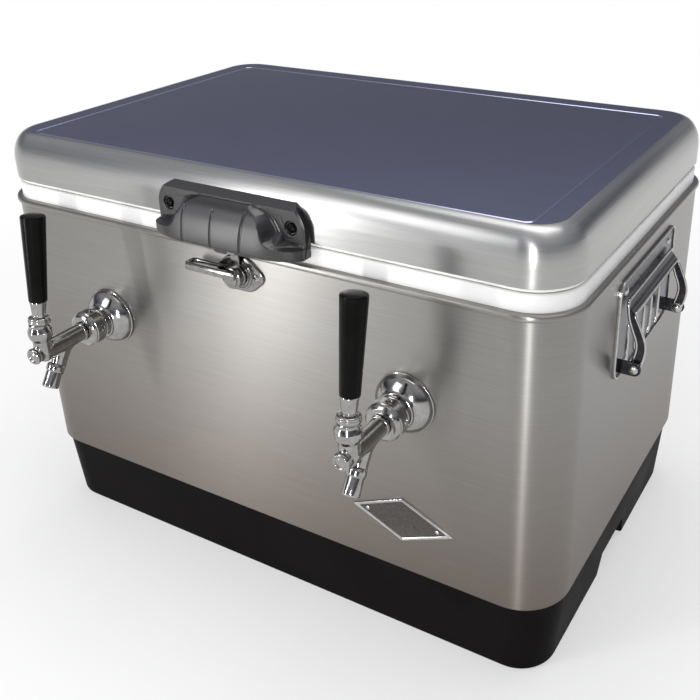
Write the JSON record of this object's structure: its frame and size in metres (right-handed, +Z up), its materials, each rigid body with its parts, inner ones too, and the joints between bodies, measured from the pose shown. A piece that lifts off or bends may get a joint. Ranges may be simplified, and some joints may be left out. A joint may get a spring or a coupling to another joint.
{
  "type": "jockey box beer cooler",
  "caption": "Steel-belted ice chest with draught taps on its front, a cold plate inside, side bail handles, a turn latch and a hinged lid.",
  "frame": {"origin": "middle of the underside of the base", "axes": "+X to the right when the taps are faced, the taps face -Y, +Z up"},
  "size_m": [0.6494, 0.5235, 0.422],
  "materials": {
    "black_base": "matte moulded polyethylene",
    "brushed_belt": "horizontally brushed stainless sheet",
    "brushed_lid": "satin stainless sheet",
    "white_liner": "smooth white moulded plastic",
    "white_plastic": "smooth white plastic",
    "foam": "closed-cell insulation foam",
    "badge_steel": "bare brushed plate with a bevelled rim",
    "bright_fasteners": "bright plated",
    "latch_chrome": "polished plate",
    "handle_steel": "bright plated pressed steel",
    "tap_chrome": "polished chrome",
    "plain_brass": "machined brass",
    "cold_plate_alloy": "cast alloy",
    "beer_line": "translucent vinyl tubing",
    "black_plastic": "moulded plastic",
    "hinge_steel": "stamped stainless",
    "grip_plastic": "fine-textured moulded plastic",
    "black_screws": "black oxide",
    "handle_black": "glossy moulded plastic"
  },
  "bodies": {
    "chest": {"base_tray": "black_base", "steel_belt": "brushed_belt", "inner_liner": "white_liner", "body_foam": "foam", "badge_plate": "badge_steel", "badge_rivets": "bright_fasteners", "latch_escutcheon": "latch_chrome", "latch_screws": "bright_fasteners", "handle_plate_left": "handle_steel", "handle_plate_right": "handle_steel", "handle_rivets": "bright_fasteners", "handle_pins": "bright_fasteners", "tap_shank_left": "tap_chrome", "tap_shank_right": "tap_chrome", "wall_flange_left": "tap_chrome", "wall_flange_right": "tap_chrome", "coupling_nut_left": "tap_chrome", "coupling_nut_right": "tap_chrome", "faucet_body_left": "tap_chrome", "faucet_body_right": "tap_chrome", "faucet_bonnet_left": "tap_chrome", "faucet_bonnet_right": "tap_chrome", "faucet_knobs": "tap_chrome", "inlet_shank_left": "tap_chrome", "inlet_shank_right": "tap_chrome", "inlet_flanges": "tap_chrome", "lock_nuts": "plain_brass", "cold_plate": "cold_plate_alloy", "plate_fittings": "plain_brass", "outlet_line_left": "beer_line", "outlet_line_right": "beer_line", "inlet_line_left": "beer_line", "inlet_line_right": "beer_line", "hose_clamps": "bright_fasteners", "drain_spout": "white_plastic", "drain_nut": "black_plastic", "hinge_body_leaves": "hinge_steel", "hinge_pins": "bright_fasteners", "hinge_body_screws": "bright_fasteners"},
    "lid": {"lid_skin": "brushed_lid", "lid_liner": "white_liner", "lid_foam": "foam", "lid_grip": "grip_plastic", "lid_grip_screws": "black_screws", "strike_tab": "latch_chrome", "hinge_lid_leaves": "hinge_steel", "hinge_lid_screws": "bright_fasteners"},
    "latch": {"latch_lever": "latch_chrome"},
    "left_bail": {"handle_bail_left": "handle_steel"},
    "right_bail": {"handle_bail_right": "handle_steel"},
    "left_tap": {"tap_lever_left": "tap_chrome", "handle_ferrule_left": "tap_chrome", "tap_handle_left": "handle_black"},
    "right_tap": {"tap_lever_right": "tap_chrome", "handle_ferrule_right": "tap_chrome", "tap_handle_right": "handle_black"},
    "left_valve": {"valve_shaft_left": "tap_chrome"},
    "right_valve": {"valve_shaft_right": "tap_chrome"},
    "cap": {"drain_cap": "black_plastic"}
  },
  "joints": [
    {"name": "lid_hinge", "type": "hinge", "parent": "chest", "child": "lid", "pos_m": [0, 0.2015, 0.371], "axis": [-1, 0, 0], "range_deg": [0, 100]},
    {"name": "latch_turn", "type": "hinge", "parent": "chest", "child": "latch", "pos_m": [0.004, -0.2055, 0.337], "axis": [0, -1, 0], "range_deg": [0, 90]},
    {"name": "left_bail_swing", "type": "hinge", "parent": "chest", "child": "left_bail", "pos_m": [-0.315, 0, 0.2625], "axis": [0, -1, 0], "range_deg": [0, 95]},
    {"name": "right_bail_swing", "type": "hinge", "parent": "chest", "child": "right_bail", "pos_m": [0.315, 0, 0.2625], "axis": [0, 1, 0], "range_deg": [0, 95]},
    {"name": "left_tap_pull", "type": "hinge", "parent": "chest", "child": "left_tap", "pos_m": [-0.1655, -0.279, 0.277], "axis": [1, 0, 0], "range_deg": [0, 30]},
    {"name": "right_tap_pull", "type": "hinge", "parent": "chest", "child": "right_tap", "pos_m": [0.1655, -0.279, 0.277], "axis": [1, 0, 0], "range_deg": [0, 30]},
    {"name": "left_valve_slide", "type": "slide", "parent": "chest", "child": "left_valve", "axis": [0, 1, 0], "range_m": [0, 0.0109]},
    {"name": "right_valve_slide", "type": "slide", "parent": "chest", "child": "right_valve", "axis": [0, 1, 0], "range_m": [0, 0.0109]},
    {"name": "drain_cap_turn", "type": "hinge", "parent": "chest", "child": "cap", "pos_m": [-0.31, 0, 0.06], "axis": [-1, 0, 0], "continuous": true}
  ],
  "couplings": [
    {"joint": "left_valve_slide", "follows": "left_tap_pull", "m_per_rad": 0.02063},
    {"joint": "right_valve_slide", "follows": "right_tap_pull", "m_per_rad": 0.02063}
  ]
}
